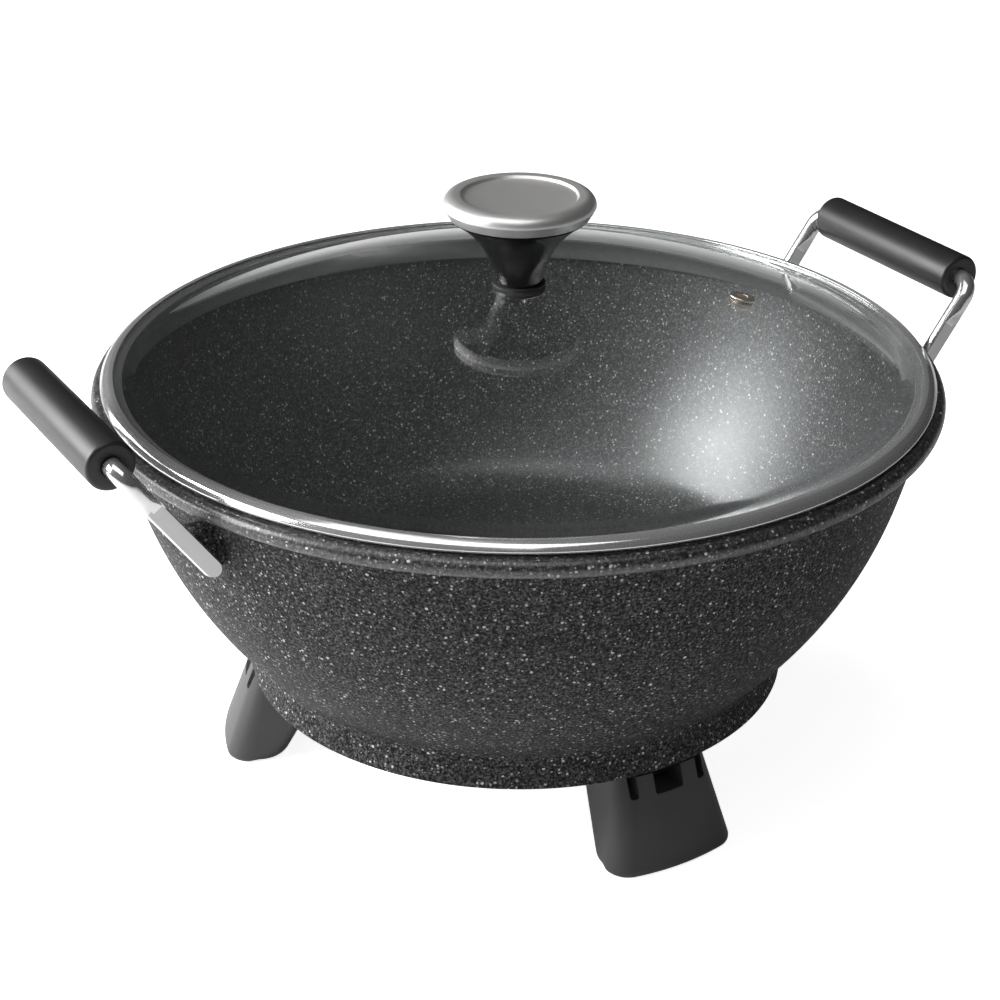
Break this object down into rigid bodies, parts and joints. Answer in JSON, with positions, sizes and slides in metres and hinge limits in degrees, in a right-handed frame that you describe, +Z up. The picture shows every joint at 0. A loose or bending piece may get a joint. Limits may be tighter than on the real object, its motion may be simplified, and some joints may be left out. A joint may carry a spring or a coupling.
{
  "type": "electric wok cooker",
  "caption": "Round cast bowl with a speckled coating on moulded legs, heated from below, with wire handles and a domed glass lid that lifts off by its flared knob.",
  "frame": {"origin": "middle of the three feet on the table, below the bowl axis", "axes": "+Z up, X along the line through the two handles, +Y towards the control probe inlet at the back, so -Y is the leg that faces the viewer"},
  "size_m": [0.4168, 0.3558, 0.2512],
  "materials": {
    "speckled_coat": "cast aluminium with a satin black coating full of fine pale flecks",
    "element_sheath": "dull heat-darkened sheath",
    "pin_steel": "plain turned steel",
    "ceramic": "white glazed ceramic",
    "leg_plastic": "fine matte texture",
    "screw_steel": "zinc plated",
    "base_sheet": "pressed plated sheet",
    "polished_steel": "polished stainless steel",
    "grip_plastic": "satin heat-proof moulding",
    "lid_glass": "clear tempered glass",
    "eyelet_brass": "pale plated eyelet",
    "knob_plastic": "gloss black moulding",
    "cap_steel": "brushed stainless steel",
    "gasket_rubber": "black silicone"
  },
  "bodies": {
    "pot": {"wok_bowl": "speckled_coat", "heating_element": "element_sheath", "left_terminal_pin": "pin_steel", "right_terminal_pin": "pin_steel", "terminal_bushes": "ceramic", "probe_sleeve": "pin_steel", "inlet_guard": "leg_plastic", "guard_screws": "screw_steel", "base_plate": "base_sheet", "front_leg": "leg_plastic", "right_leg": "leg_plastic", "left_leg": "leg_plastic", "leg_screws": "screw_steel", "left_handle_wire": "polished_steel", "right_handle_wire": "polished_steel", "left_grip": "grip_plastic", "right_grip": "grip_plastic", "handle_rivets": "polished_steel"},
    "lid": {"lid_glass": "lid_glass", "lid_band": "polished_steel", "vent_eyelet": "eyelet_brass", "knob_body": "knob_plastic", "knob_cap": "cap_steel", "knob_screw": "screw_steel", "knob_washer": "screw_steel", "knob_gaskets": "gasket_rubber"}
  },
  "joints": [
    {"name": "lid_lift", "type": "slide", "parent": "pot", "child": "lid", "axis": [0, 0, 1], "range_m": [0, 0.2]}
  ]
}
